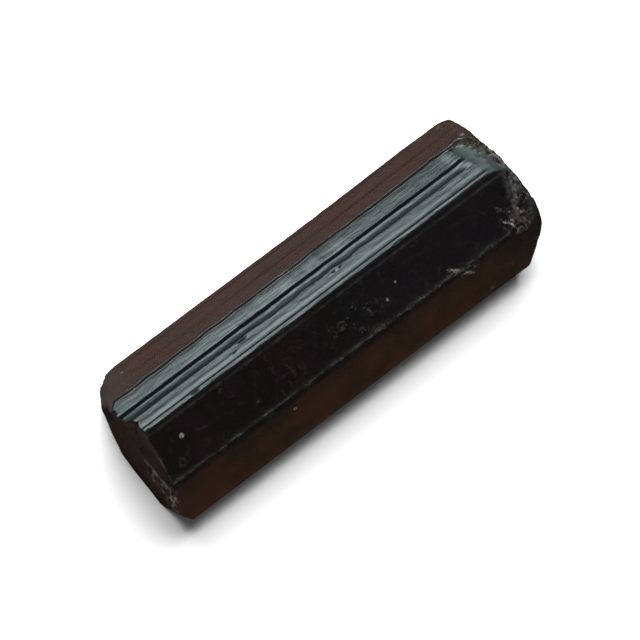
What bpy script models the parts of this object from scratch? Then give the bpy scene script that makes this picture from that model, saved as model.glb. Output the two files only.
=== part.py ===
# A loose tourmaline crystal: one dark prism, grooved along its length, lying on its underside.
#
# It is described as a crystallographer would. The crystal grew along X, and every flat face has a
# direction and a reach, its distance from the crystal's heart. The long faces and their grooves
# make a cross-section, which is carried along X as a prism. A block with the end faces trims the
# prism, and then the chips are broken out of it.
import math
import random

import bmesh
import bpy
from mathutils import Matrix, Vector

# Everything is modelled in millimetres and made metres at the very end.
MM = 0.001
NAME = "tourmaline_crystal"
STONE_COLOUR = (0.030, 0.019, 0.015, 1.0)
STONE_ROUGHNESS = 0.24

# The heart is the point that the faces' reaches are measured from, above the surface it lies on.
HEART = Vector((0.0, 0.0, 4.6))

# Each face is (around, tilt, reach). around is in degrees about X: 0 looks towards -Y, the near
# side, and 90 looks up. tilt is in degrees from +X, so 90 is a face of the prism and under 90
# one of the right-hand end. reach is in mm.
# The prism's faces are listed in the order they come round it.
PRISM_FACES = {
    "near": (15.0, 90.0, 5.53),
    "upper_near": (54.0, 90.0, 4.79),
    "crest": (120.0, 90.0, 3.13),
    "upper_far": (140.0, 90.55, 3.195),
    "far": (188.0, 90.0, 6.55),
    "lower_far": (228.0, 90.0, 6.6),
    "underside": (270.0, 90.0, 4.6),
    "lower_near": (315.0, 90.0, 6.386),
}
# The left-hand end is almost square to the prism, with its far corner broken away.
LEFT_END = {
    "left_square": (164.0, 176.5, 15.89),
    "left_far_corner": (154.0, 118.9, 9.92),
    "left_under_corner": (209.0, 156.4, 16.02),
    "left_near_corner": (315.9, 143.9, 16.52),
}
# The right-hand end is domed: a low point of three leaning faces, with a worn facet over each
# face of the prism and two more between them.
RIGHT_END = {
    "right_lean": (89.0, 12.7, 17.35),
    "right_under": (266.5, 14.9, 17.94),
    "right_heel": (355.9, 15.7, 17.93),
    "right_crown": (86.3, 39.2, 15.50),
    "right_crest": (116.5, 72.1, 8.01),
    "right_upper": (47.1, 62.8, 11.44),
    "right_near": (7.4, 66.4, 11.84),
    "right_low": (329.2, 42.7, 15.91),
    "right_far": (165.1, 63.6, 12.80),
}

# The block that the end faces are cut on, as long as the prism before it is trimmed, and the
# width of the worn flat along each edge.
BLOCK = (38.0, 20.0, 20.0)
EDGE_WEAR = 0.12

# Lengthwise grooves: (face, across at the left end, across at the right end, width, depth), in mm.
# across is measured on the face from the foot of its reach, in the direction around grows in. The
# two ends that it is given for lie a span to either side of the heart.
GROOVE_SPAN = 15.0
GROOVES = (
    ("crest", -0.97, -0.62, 0.20, 0.24),
    ("crest", -1.95, -1.60, 0.40, 0.17),
    ("crest", -3.42, -3.40, 0.13, 0.08),
    ("crest", 0.10, 0.80, 0.14, 0.05),
    ("upper_far", 2.45, 2.62, 0.34, 0.07),
    ("upper_far", 4.95, 5.15, 0.30, 0.07),
    ("upper_near", 0.98, 1.02, 0.16, 0.05),
    ("upper_near", 0.10, -0.06, 0.24, 0.04),
    ("near", -0.55, -0.40, 0.22, 0.05),
    ("near", -2.05, -2.10, 0.30, 0.06),
    ("near", -3.10, -3.00, 0.16, 0.05),
    ("lower_near", 0.35, 0.30, 0.30, 0.08),
    ("lower_near", 1.25, 1.15, 0.22, 0.06),
    ("far", 2.15, 2.00, 0.18, 0.05),
    ("lower_far", -1.45, -1.40, 0.26, 0.08),
    ("lower_far", -0.95, -0.98, 0.16, 0.05),
    ("underside", -2.90, -2.80, 0.30, 0.07),
    ("underside", 2.30, 2.20, 0.24, 0.06),
)

# Finer lines lie at random between the grooves: how many of them each face has, their least and
# greatest width and depth, how far they stray and the gap they keep, in mm.
FINE_LINES = {
    "near": 9,
    "upper_near": 7,
    "crest": 6,
    "upper_far": 10,
    "far": 0,
    "lower_far": 2,
    "underside": 8,
    "lower_near": 5,
}
FINE_WIDTH = (0.06, 0.18)
FINE_DEPTH = (0.02, 0.045)
FINE_DRIFT = 0.05
LINE_GAP = 0.03
LINE_SEED = 5

# Chips and notches: (face, a point beside it, (half the length, half the width, depth)), in mm.
# Each is as round as a ball of so many subdivisions, with its points moved in or out by a share.
CHIPS = (
    ("left_far_corner", (-13.90, 5.50, 1.65), (0.55, 0.60, 0.34)),
    ("left_square", (-15.91, 0.30, 3.83), (0.40, 0.80, 0.22)),
    ("left_square", (-15.99, -0.80, 2.10), (0.42, 0.90, 0.26)),
    ("left_square", (-16.13, -3.50, 4.54), (0.50, 0.55, 0.30)),
    ("left_square", (-16.18, -4.79, 5.80), (0.40, 0.60, 0.30)),
    ("near", (10.15, -5.23, 6.47), (0.62, 0.34, 0.20)),
    ("near", (12.60, -5.19, 6.59), (0.45, 0.22, 0.14)),
    ("near", (14.90, -5.18, 6.63), (0.70, 0.42, 0.26)),
    ("upper_near", (15.35, -4.60, 7.15), (0.42, 0.55, 0.22)),
    ("right_upper", (16.10, -2.20, 8.75), (0.60, 0.50, 0.24)),
    ("right_upper", (16.70, -3.10, 7.65), (0.50, 0.55, 0.22)),
    ("right_upper", (15.80, -3.30, 8.00), (0.34, 0.40, 0.18)),
    ("right_upper", (16.35, -4.30, 6.70), (0.55, 0.70, 0.26)),
    ("right_upper", (16.30, -5.10, 6.05), (0.60, 0.50, 0.28)),
    ("right_crest", (16.45, -0.45, 8.25), (0.60, 0.45, 0.20)),
    ("right_crest", (16.20, 0.94, 7.67), (0.50, 0.60, 0.20)),
    ("right_crest", (16.70, 1.90, 7.00), (0.50, 0.45, 0.18)),
    ("right_crown", (16.90, -1.20, 8.10), (0.60, 0.70, 0.24)),
    ("right_lean", (17.40, 0.80, 6.20), (0.60, 0.80, 0.22)),
    ("right_heel", (17.50, -2.40, 4.40), (0.70, 0.60, 0.20)),
    ("near", (16.45, -5.95, 3.50), (0.50, 0.60, 0.30)),
    ("crest", (-6.38, -0.57, 8.54), (0.42, 0.20, 0.15)),
    ("crest", (0.30, 0.01, 8.21), (1.60, 0.16, 0.12)),
    ("upper_far", (15.80, 6.10, 2.54), (0.60, 0.34, 0.12)),
    ("lower_far", (-14.20, 5.38, 0.57), (0.90, 0.80, 0.40)),
    ("lower_far", (15.60, 5.20, 0.60), (0.85, 0.60, 0.34)),
)
CHIP_SUBDIVISIONS = 2
CHIP_ROUGHNESS = 0.16
CHIP_SEED = 11

# Corners closer together than this, in mm, become one: a very little after each cut, then a
# little more once the crystal is finished. Faces bent by less than FLAT radians are one face.
CUT_WELD = 0.0001
LAST_WELD = 0.002
FLAT = math.radians(0.1)

# An edge is lengthwise if this much of it runs along X.
LENGTHWISE = 0.99


def around_direction(around):
    """The direction square to X at an angle about it."""
    angle = math.radians(around)
    return Vector((0.0, -math.cos(angle), math.sin(angle)))


def face_normal(around, tilt):
    """The direction that a face looks in."""
    lean = math.radians(tilt)
    return Vector((math.cos(lean), 0.0, 0.0)) + around_direction(around) * math.sin(lean)


def all_faces():
    """Every flat face of the crystal, by name."""
    return {**PRISM_FACES, **LEFT_END, **RIGHT_END}


def point_on(face, x, across):
    """The point of a face at a place along the crystal and across the face, in mm."""
    around, tilt, reach = all_faces()[face]
    normal = face_normal(around, tilt)
    rise = (reach - normal.x * x) / math.sin(math.radians(tilt))
    sideways = around_direction(around + 90.0)
    return HEART + Vector((x, 0.0, 0.0)) + around_direction(around) * rise + sideways * across


def corner_across(face, neighbour, x):
    """Where a neighbouring face of the prism crosses a face, measured across that face."""
    foot = point_on(face, x, 0.0)
    sideways = around_direction(all_faces()[face][0] + 90.0)
    normal = face_normal(*all_faces()[neighbour][:2])
    return (point_on(neighbour, x, 0.0) - foot).dot(normal) / sideways.dot(normal)


def face_span(face, x):
    """The lowest and highest place across a face of the prism, inside its worn edges."""
    ring = list(PRISM_FACES)
    place = ring.index(face)
    low = corner_across(face, ring[place - 1], x)
    high = corner_across(face, ring[(place + 1) % len(ring)], x)
    return low + EDGE_WEAR / 2, high - EDGE_WEAR / 2


def collection(name):
    """A new collection in the scene."""
    made = bpy.data.collections.new(name)
    bpy.context.scene.collection.children.link(made)
    return made


def object_from(bm, name, target):
    """Turns a bmesh into an object in a collection."""
    mesh = bpy.data.meshes.new(name)
    bmesh.ops.recalc_face_normals(bm, faces=bm.faces)
    bm.to_mesh(mesh)
    bm.free()
    made = bpy.data.objects.new(name, mesh)
    target.objects.link(made)
    return made


def stone_material():
    """Nearly black, glossy stone with a brown cast."""
    stone = bpy.data.materials.new("tourmaline")
    stone.use_nodes = True
    shader = stone.node_tree.nodes["Principled BSDF"]
    shader.inputs["Base Color"].default_value = STONE_COLOUR
    shader.inputs["Roughness"].default_value = STONE_ROUGHNESS
    shader.inputs["Metallic"].default_value = 0.0
    return stone


def across_at(line, x):
    """Where a groove or line lies across its face at a place along the crystal."""
    left, right = line[:2]
    return left + (right - left) * (x + GROOVE_SPAN) / (2 * GROOVE_SPAN)


def line_fits(face, line, others):
    """Whether a line keeps clear of its face's edges and of the other lines at both ends."""
    width = line[2]
    for x in (-BLOCK[0] / 2, BLOCK[0] / 2):
        low, high = face_span(face, x)
        across = across_at(line, x)
        if not low + width < across < high - width:
            return False
        if any(abs(across - across_at(other, x)) < (width + other[2]) / 2 + LINE_GAP for other in others):
            return False
    return True


def lines_on(face, rng):
    """A face's grooves and finer lines, in order across it, none of them touching another."""
    lines = [groove[1:] for groove in GROOVES if groove[0] == face]
    wanted = len(lines) + FINE_LINES[face]
    while len(lines) < wanted:
        share = rng.random()
        drift = rng.uniform(-FINE_DRIFT, FINE_DRIFT)
        low, high = face_span(face, -GROOVE_SPAN)
        left = low + (high - low) * share - drift
        low, high = face_span(face, GROOVE_SPAN)
        right = low + (high - low) * share + drift
        line = (left, right, rng.uniform(*FINE_WIDTH), rng.uniform(*FINE_DEPTH))
        if line_fits(face, line, lines):
            lines.append(line)
    return sorted(lines)


def outline(x, lines):
    """The prism's cross-section at x: each face in turn, dipping into its grooves."""
    ring = []
    for face, (around, _, _) in PRISM_FACES.items():
        low, high = face_span(face, x)
        ring.append(point_on(face, x, low))
        for line in lines[face]:
            across, width, depth = across_at(line, x), line[2], line[3]
            ring.append(point_on(face, x, across - width / 2))
            ring.append(point_on(face, x, across) - around_direction(around) * depth)
            ring.append(point_on(face, x, across + width / 2))
        ring.append(point_on(face, x, high))
    return ring


def grooved_prism():
    """The prism, longer than the crystal, lofted between its unlike cross-sections."""
    rng = random.Random(LINE_SEED)
    lines = {face: lines_on(face, rng) for face in PRISM_FACES}
    bm = bmesh.new()
    left = [bm.verts.new(point) for point in outline(-BLOCK[0] / 2, lines)]
    right = [bm.verts.new(point) for point in outline(BLOCK[0] / 2, lines)]
    for place in range(len(left)):
        before = place - 1
        bm.faces.new((left[before], left[place], right[place], right[before]))
    bm.faces.new(left)
    bm.faces.new(right)
    bmesh.ops.triangulate(bm, faces=bm.faces)
    bmesh.ops.recalc_face_normals(bm, faces=bm.faces)
    return bm


def cut_back(bm, point, outward):
    """Cuts off everything beyond a plane and closes the cut with one flat face."""
    cut = bmesh.ops.bisect_plane(
        bm,
        geom=bm.verts[:] + bm.edges[:] + bm.faces[:],
        dist=CUT_WELD,
        plane_co=point,
        plane_no=outward,
        clear_outer=True,
    )
    rim = [part for part in cut["geom_cut"] if isinstance(part, bmesh.types.BMEdge)]
    bmesh.ops.edgeloop_fill(bm, edges=rim)
    bmesh.ops.recalc_face_normals(bm, faces=bm.faces)


def plain_block(faces):
    """A block with the given faces cut on it."""
    bm = bmesh.new()
    bmesh.ops.create_cube(bm, size=1.0)
    bmesh.ops.scale(bm, vec=BLOCK, verts=bm.verts)
    bmesh.ops.translate(bm, vec=HEART, verts=bm.verts)
    for around, tilt, reach in faces:
        normal = face_normal(around, tilt)
        cut_back(bm, HEART + normal * reach, normal)
    return bm


def rim_flats():
    """The worn flats along the edges of the two ends, found on a block with every face."""
    bm = plain_block(all_faces().values())
    flats = []
    for edge in bm.edges:
        start, end = (vert.co for vert in edge.verts)
        lengthwise = abs((end - start).normalized().x) > LENGTHWISE
        if not lengthwise:
            outward = (edge.link_faces[0].normal + edge.link_faces[1].normal).normalized()
            depth = EDGE_WEAR / 2 * math.tan(edge.calc_face_angle() / 2)
            flats.append(((start + end) / 2 - outward * depth, outward))
    bm.free()
    return flats


def end_block():
    """A plain block, wider than the prism, with the faces and worn rims of both ends."""
    bm = plain_block(list(LEFT_END.values()) + list(RIGHT_END.values()))
    for point, outward in rim_flats():
        cut_back(bm, point, outward)
    return bm


def chip_cutter(face, beside, size, rng):
    """A rough, flattened ball that breaks one shell-shaped chip out of a face or its edge."""
    bm = bmesh.new()
    bmesh.ops.create_icosphere(bm, subdivisions=CHIP_SUBDIVISIONS, radius=1.0)
    for vert in bm.verts:
        vert.co *= 1.0 + rng.uniform(-CHIP_ROUGHNESS, CHIP_ROUGHNESS)
    bmesh.ops.scale(bm, vec=(size[2], size[1], size[0]), verts=bm.verts)
    around, tilt, reach = all_faces()[face]
    normal = face_normal(around, tilt)
    side = around_direction(around + 90.0)
    turn = Matrix((normal, side, normal.cross(side))).transposed()
    centre = Vector(beside) + normal * (reach - normal.dot(Vector(beside) - HEART))
    place = Matrix.Translation(centre)
    bmesh.ops.transform(bm, matrix=place @ turn.to_4x4(), verts=bm.verts)
    return bm


def shape(crystal, cutter, operation):
    """Cuts the crystal with a cutter for good: DIFFERENCE or INTERSECT."""
    boolean = crystal.modifiers.new(cutter.name, "BOOLEAN")
    boolean.operation = operation
    boolean.solver = "EXACT"
    boolean.object = cutter
    cutter.hide_render = True
    cutter.display_type = "WIRE"
    graph = bpy.context.evaluated_depsgraph_get()
    cut = bmesh.new()
    cut.from_mesh(crystal.evaluated_get(graph).data)
    crystal.modifiers.remove(boolean)
    weld(cut, CUT_WELD)
    bmesh.ops.dissolve_limit(cut, angle_limit=FLAT, verts=cut.verts, edges=cut.edges)
    bmesh.ops.triangulate(cut, faces=cut.faces)
    cut.to_mesh(crystal.data)
    cut.free()


def weld(bm, distance):
    """Joins corners that are closer together than a distance."""
    bmesh.ops.remove_doubles(bm, verts=bm.verts, dist=distance)
    bmesh.ops.dissolve_degenerate(bm, edges=bm.edges, dist=distance)


def finish(crystal):
    """Makes the mesh metres, with its box centred on the origin and standing on z = 0."""
    bm = bmesh.new()
    bm.from_mesh(crystal.data)
    weld(bm, LAST_WELD)
    low = [min(vert.co[axis] for vert in bm.verts) for axis in range(3)]
    high = [max(vert.co[axis] for vert in bm.verts) for axis in range(3)]
    foot = Vector(((low[0] + high[0]) / 2, (low[1] + high[1]) / 2, low[2]))
    bmesh.ops.translate(bm, vec=-foot, verts=bm.verts)
    bmesh.ops.scale(bm, vec=(MM, MM, MM), verts=bm.verts)
    bm.to_mesh(crystal.data)
    bm.free()


def build():
    for old in list(bpy.data.objects):
        bpy.data.objects.remove(old, do_unlink=True)
    parts = collection(NAME)
    cutters = collection("cutters")
    crystal = object_from(grooved_prism(), NAME, parts)
    crystal.data.materials.append(stone_material())
    shape(crystal, object_from(end_block(), "end_block", cutters), "INTERSECT")
    rng = random.Random(CHIP_SEED)
    for chip in CHIPS:
        shape(crystal, object_from(chip_cutter(*chip, rng), "chip_cutter", cutters), "DIFFERENCE")
    finish(crystal)


build()
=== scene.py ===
import math

import bmesh
import bpy
import numpy as np
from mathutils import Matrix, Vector


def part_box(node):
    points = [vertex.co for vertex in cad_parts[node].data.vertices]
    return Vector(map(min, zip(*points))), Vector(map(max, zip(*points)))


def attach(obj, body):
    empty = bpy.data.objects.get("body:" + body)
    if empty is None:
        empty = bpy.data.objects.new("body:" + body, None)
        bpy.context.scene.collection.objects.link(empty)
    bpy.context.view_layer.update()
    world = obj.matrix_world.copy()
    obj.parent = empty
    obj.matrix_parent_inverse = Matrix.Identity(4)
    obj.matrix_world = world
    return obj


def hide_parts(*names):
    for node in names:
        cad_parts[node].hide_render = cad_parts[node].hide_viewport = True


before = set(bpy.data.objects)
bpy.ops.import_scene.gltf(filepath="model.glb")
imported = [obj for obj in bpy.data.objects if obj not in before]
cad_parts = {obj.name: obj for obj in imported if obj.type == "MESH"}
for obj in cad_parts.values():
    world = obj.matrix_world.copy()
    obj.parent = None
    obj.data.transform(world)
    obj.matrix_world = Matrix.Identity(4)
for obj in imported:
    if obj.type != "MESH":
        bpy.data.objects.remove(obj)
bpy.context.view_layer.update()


# ---------------------------------------------------------------------------------------------
# The crystal: one natural prism of dark brown-black tourmaline, lying on its underside. It grew
# along X, so its long faces are finely grooved that way, and its ends are broken and worn.
# ---------------------------------------------------------------------------------------------

# Sizes are in mm. The faces are measured from HEART, above the surface the crystal rests on, and
# FOOT is where the origin of the plain crystal lies. Each face is around (0 looks towards -Y and
# 90 up), tilt from +X, and reach, its distance from the heart.
MM = 0.001
HEART = np.array((0.0, 0.0, 4.6))
FOOT = np.array((0.9146, -0.0605, 0.0))
LONG_FACES = {
    "near": (14.0, 90.09, 5.602),
    "upper_near": (54.0, 90.0, 4.79),
    "crest": (120.0, 90.311, 3.0485),
    "upper_far": (140.0, 90.565, 3.275),
    "far": (188.0, 90.0, 6.55),
    "lower_far": (228.0, 90.0, 6.6),
    "underside": (270.0, 90.0, 4.6),
    "lower_near": (315.0, 90.0, 6.54),
}
LEFT_FACES = {
    "left_square": (164.0, 176.5, 15.89),
    "left_far_corner": (154.0, 118.9, 9.92),
    "left_under_corner": (209.0, 156.4, 16.02),
    "left_near_corner": (315.9, 143.9, 16.52),
}
RIGHT_FACES = {
    "right_lean": (89.0, 12.7, 17.35),
    "right_under": (266.5, 14.9, 17.94),
    "right_heel": (355.9, 15.7, 17.93),
    "right_crown": (86.3, 39.2, 15.50),
    "right_crest": (116.5, 72.1, 8.01),
    "right_upper": (47.1, 62.8, 11.44),
    "right_near": (7.4, 66.4, 11.84),
    "right_low": (329.2, 42.7, 15.97),
    "right_far": (165.1, 63.6, 12.80),
}
FACES = {**LONG_FACES, **LEFT_FACES, **RIGHT_FACES}
NAMES = list(FACES)


def sideways(around):
    """The direction square to X at an angle about it."""
    angle = math.radians(around)
    return np.array((0.0, -math.cos(angle), math.sin(angle)))


def outward(around, tilt):
    """The direction that a face looks in."""
    lean = math.radians(tilt)
    return np.array((math.cos(lean), 0.0, 0.0)) + sideways(around) * math.sin(lean)


def point_on(face, x, across):
    """The point of a face at a place along the crystal and across the face."""
    around, tilt, reach = FACES[face]
    rise = (reach - outward(around, tilt)[0] * x) / math.sin(math.radians(tilt))
    return HEART + np.array((x, 0, 0)) + sideways(around) * rise + sideways(around + 90) * across


def corner_across(face, neighbour, x):
    """Where a neighbouring long face crosses a face, measured across that face."""
    normal = outward(*FACES[neighbour][:2])
    step = sideways(FACES[face][0] + 90)
    return (point_on(neighbour, x, 0) - point_on(face, x, 0)).dot(normal) / step.dot(normal)


# The crystal's skin starts as a box ruled into a grid: COLUMNS rulings run round each long face,
# and STATIONS are the places along it. Both are closest where there is most to see.
SPAN = 15.0
COLUMNS = {
    "near": 62,
    "upper_near": 58,
    "crest": 150,
    "upper_far": 76,
    "far": 8,
    "lower_far": 12,
    "underside": 32,
    "lower_near": 18,
}
STATIONS = np.concatenate(
    (
        np.linspace(-14.9, -13.4, 15, endpoint=False),
        np.linspace(-13.4, 9.0, 96, endpoint=False),
        np.linspace(9.0, 14.9, 66),
    )
)
RINGS_ACROSS = 108
RINGS_UP = sum(COLUMNS.values()) // 2 - RINGS_ACROSS

# Each column is a straight line from its place at one end of its face to its place at the other.
columns = []
ring = list(LONG_FACES)
for place, face in enumerate(ring):
    ends = []
    for x in (-SPAN, SPAN):
        low = corner_across(face, ring[place - 1], x)
        high = corner_across(face, ring[(place + 1) % len(ring)], x)
        ends.append(np.linspace(low, high, COLUMNS[face], endpoint=False))
    for left, right in zip(*ends):
        columns.append((point_on(face, -SPAN, left), point_on(face, SPAN, right)))
columns = np.array(columns)


def on_prism(around_at, x):
    """Points of the plain prism, at places round it (counted in columns) and along it."""
    whole = np.floor(around_at).astype(int)
    part = (around_at - whole)[:, None]
    share = ((x + SPAN) / (2 * SPAN))[:, None]
    low, high = columns[whole % len(columns)], columns[(whole + 1) % len(columns)]
    return (low[:, 0] * (1 - share) + low[:, 1] * share) * (1 - part) + (
        high[:, 0] * (1 - share) + high[:, 1] * share
    ) * part


skin = bmesh.new()
bmesh.ops.create_cube(skin, size=1.0)
counts = (len(STATIONS) - 1, RINGS_ACROSS, RINGS_UP)
bmesh.ops.translate(skin, vec=(0.5, 0.5, 0.5), verts=skin.verts)
bmesh.ops.scale(skin, vec=counts, verts=skin.verts)
for axis in range(3):
    edges = [
        edge for edge in skin.edges if abs((edge.verts[0].co - edge.verts[1].co)[axis]) > 0.5
    ]
    bmesh.ops.subdivide_edges(skin, edges=edges, cuts=counts[axis] - 1, use_grid_fill=False)
box = np.array([vert.co for vert in skin.verts])

# A corner of the grid on the box's sides goes to its column and station. One on the box's end
# goes to a ring inside the last station, and the end faces are reached from there.
unit = box[:, 1:] / counts[1:] * 2 - 1
rim = np.abs(unit).max(1)
turn = unit / np.maximum(rim, 1e-9)[:, None]
y_share, z_share = (turn[:, 0] + 1) / 2, (turn[:, 1] + 1) / 2
around_at = np.where(
    turn[:, 0] < -1 + 1e-6,
    z_share * RINGS_UP,
    np.where(
        turn[:, 1] > 1 - 1e-6,
        RINGS_UP + y_share * RINGS_ACROSS,
        np.where(
            turn[:, 0] > 1 - 1e-6,
            RINGS_UP + RINGS_ACROSS + (1 - z_share) * RINGS_UP,
            2 * RINGS_UP + RINGS_ACROSS + (1 - y_share) * RINGS_ACROSS,
        ),
    ),
)
along = STATIONS[np.clip(np.rint(box[:, 0]).astype(int), 0, counts[0])]

# The rings of each end lie round the crystal's middle line and gather a little towards the rim.
MIDDLE_Z = 4.3
LEFT_GATHER, RIGHT_GATHER = 0.85, 0.65


def on_middle_line(x):
    """Points of the line through the crystal's middle."""
    return np.stack((x, np.zeros(len(x)), np.full(len(x), MIDDLE_Z)), 1)


shell = on_prism(around_at, along)
middle = on_middle_line(along)
gather = np.where(along < 0, LEFT_GATHER, RIGHT_GATHER)
shell = middle + (shell - middle) * (rim**gather)[:, None]


# The noise starts again after so many bumps.
LATTICE = 32


def lattice_noise(seed, places):
    """Smooth random heights from -1 to 1, one bump to a unit, at each place."""
    table = np.random.default_rng(seed).uniform(-1, 1, (LATTICE, LATTICE, LATTICE))
    whole = np.floor(places).astype(int)
    part = places - whole
    part = part * part * (3 - 2 * part)
    total = np.zeros(len(places))
    for corner in np.ndindex(2, 2, 2):
        weight = np.prod(np.where(corner, part, 1 - part), axis=1)
        at = (whole + corner) % LATTICE
        total += weight * table[at[:, 0], at[:, 1], at[:, 2]]
    return total


def rough_noise(seed, places, layers):
    """Layers of smooth noise, each twice as fine as the last and half as high."""
    return sum(lattice_noise(seed + n, places * 2**n) / 2**n for n in range(layers))


def ease(value, low, high):
    """0 below low, 1 above high, and smooth between."""
    part = np.clip((value - low) / (high - low), 0, 1)
    return part * part * (3 - 2 * part)


# Every point is drawn out from the middle line until it meets the first face. Those near the ends
# start no further out than START_LIMIT, so that their lines fan out over the end.
START_LIMIT = 11.0
normals = np.array([outward(*FACES[name][:2]) for name in NAMES])
reaches = np.array([FACES[name][2] for name in NAMES])
start = on_middle_line(np.clip(along, -START_LIMIT, START_LIMIT))
ray = shell - start
speed = ray @ normals.T


def drawn_out(reach):
    """Where each point's ray meets the first face."""
    room = reach - (start - HEART) @ normals.T
    stretch = np.where(speed > 1e-9, room / np.maximum(speed, 1e-9), 1e9).min(1)
    return start + ray * stretch[:, None]


# No face is quite flat, so the points are drawn out a second time, with each face a little further
# out or in. UNEVEN is how far the long faces swing. The upper far face also swells towards the
# right end, the left end stands out most at the far tip of the crest, and five of the right end's
# faces stand out a little.
UNEVEN = {"upper_far": 0.024, "near": 0.012, "upper_near": 0.006, "crest": 0.004}
spots = drawn_out(reaches)
reach_there = np.tile(reaches, (len(spots), 1))
for name, swing in UNEVEN.items():
    order = NAMES.index(name)
    places = np.stack((spots[:, 0] * 1.1, spots[:, 1] * 0.1, spots[:, 0] * 0 + order), 1)
    reach_there[:, order] += swing * rough_noise(2, places, 2)
crest_tip = ease(spots[:, 1], -0.6, 0.7) * ease(spots[:, 2], 5.2, 6.8)
further_out = {
    "upper_far": 0.22 * ease(spots[:, 0], 5.0, 15.5) * ease(spots[:, 1], 2.0, 6.0),
    "left_square": 0.08 + 0.40 * crest_tip,
    "left_far_corner": 0.20 + 0.35 * ease(spots[:, 0], -14.9, -13.6),
    "right_lean": 0.05,
    "right_heel": 0.05,
    "right_near": 0.05,
    "right_upper": 0.05,
    "right_far": 0.09,
}
for name, further in further_out.items():
    reach_there[:, NAMES.index(name)] += further
spots = drawn_out(reach_there)

# Wear rounds every edge a little, more in some places than in others, and most at the right end
# and at the far corner of the left one.
WEAR, RIGHT_WEAR, LEFT_CORNER_WEAR = 0.03, 0.06, 0.09
wear = WEAR * (1.15 + 0.6 * lattice_noise(3, spots * 0.9))
wear += RIGHT_WEAR * ease(spots[:, 0], 14.6, 16.4)
wear += LEFT_CORNER_WEAR * ease(-spots[:, 0], 12.0, 14.0) * ease(spots[:, 1], 2.2, 3.6)
depths = (spots - HEART) @ normals.T - reach_there
pull = np.exp(depths / wear[:, None])
pulled_to = pull @ normals
pulled_to /= np.linalg.norm(pulled_to, axis=1)[:, None]
spots -= pulled_to * (wear * np.log(pull.sum(1)))[:, None]
share = pull / pull.sum(1)[:, None]
face_share = {name: share[:, n] for n, name in enumerate(NAMES)}
facing = share @ normals
facing /= np.linalg.norm(facing, axis=1)[:, None]

# Lengthwise grooves, left by the crystal's growth: where each lies across its face at the left and
# at the right, its width and its depth.
GROOVES = {
    "upper_far": ((2.45, 2.62, 0.34, 0.012), (4.95, 5.15, 0.30, 0.014)),
    "lower_near": ((0.35, 0.30, 0.30, 0.08), (1.25, 1.15, 0.22, 0.06)),
    "far": ((2.15, 2.00, 0.18, 0.05),),
    "lower_far": ((-1.45, -1.40, 0.26, 0.08), (-0.95, -0.98, 0.16, 0.05)),
    "underside": ((-2.90, -2.80, 0.30, 0.07), (2.30, 2.20, 0.24, 0.06)),
}
# How high the fine growth lines stand on each face.
LINES = {
    "near": 0.0035,
    "upper_near": 0.002,
    "crest": 0.0006,
    "upper_far": 0.0025,
    "far": 0.010,
    "lower_far": 0.012,
    "underside": 0.010,
    "lower_near": 0.012,
}
# Growth lines are layers of noise drawn out along the crystal: seed, how many to a mm along it and
# across it, and how high beside the first. A height of LINE_TOP lies level with the plain face.
LINE_LAYERS = ((11, 0.035, 4.5, 1.0), (12, 0.09, 11.0, 0.55), (13, 0.02, 1.3, 1.6))
LINE_TOP = 1.2
# The crest is a flight of narrow ledges. Each row is a place across it, as a share of its width
# from the near edge, at the left and at the right, then how many degrees the stone leans there,
# up towards the far edge, at the left, in the middle and at the right, and how dull it is, which
# also paints it dark as shade. The glossy ledges that lean least catch the window.
LEDGES = (
    (-0.060, 0.019, 9.0, 9.0, 9.0, 0.3),
    (-0.025, 0.049, 2.2, 2.2, 3.0, 0.0),
    (0.061, 0.057, 1.9, 1.8, 2.4, 0.0),
    (0.083, 0.080, 3.2, 3.0, 3.2, 0.0),
    (0.085, 0.082, -8.5, -9.5, -9.0, 0.5),
    (0.104, 0.104, -10.0, -11.5, -11.0, 0.8),
    (0.136, 0.145, -7.5, -8.5, -8.5, 0.6),
    (0.138, 0.147, 4.0, 5.0, 5.6, 0.1),
    (0.158, 0.168, 1.4, 2.0, 3.4, 0.0),
    (0.200, 0.189, 0.6, -0.4, 1.6, 0.0),
    (0.225, 0.211, 2.0, 0.8, 1.8, 0.0),
    (0.247, 0.233, 3.6, 2.8, 2.6, 0.0),
    (0.268, 0.252, 3.6, 3.5, 3.6, 0.0),
    (0.294, 0.280, 3.1, 3.2, 3.7, 0.0),
    (0.326, 0.311, 2.4, 2.7, 3.5, 0.0),
    (0.356, 0.349, 1.9, 2.7, 3.4, 0.0),
    (0.372, 0.375, 5.0, 5.0, 4.6, 0.2),
    (0.376, 0.379, -14.0, -14.0, -14.0, 0.5),
    (0.395, 0.402, -13.0, -12.0, -11.0, 0.8),
    (0.418, 0.419, -11.0, -9.0, -8.5, 0.8),
    (0.447, 0.452, -8.0, -6.6, -6.2, 0.5),
    (0.497, 0.486, -5.4, -4.6, -4.2, 0.2),
    (0.530, 0.512, -3.4, -2.6, -2.8, 0.0),
    (0.552, 0.530, -2.6, -1.8, -2.2, 0.0),
    (0.572, 0.554, -2.4, -2.0, -2.4, 0.0),
    (0.614, 0.596, -3.0, -2.4, -2.8, 0.0),
    (0.616, 0.598, 58.0, 58.0, 58.0, 0.0),
    (0.621, 0.603, 58.0, 58.0, 58.0, 0.0),
    (0.623, 0.605, -2.1, -1.8, -3.3, 0.0),
    (0.676, 0.678, -2.6, -2.0, -3.6, 0.0),
    (0.760, 0.763, -2.6, -2.0, -3.4, 0.0),
    (0.811, 0.819, -2.4, -2.0, -3.4, 0.0),
    (0.853, 0.858, -2.3, -2.9, -3.5, 0.0),
    (0.896, 0.905, -2.8, -3.5, -3.5, 0.1),
    (0.947, 0.953, -3.3, -3.3, -3.4, 0.1),
    (1.032, 1.030, -3.3, -3.3, -3.6, 0.1),
)
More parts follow.
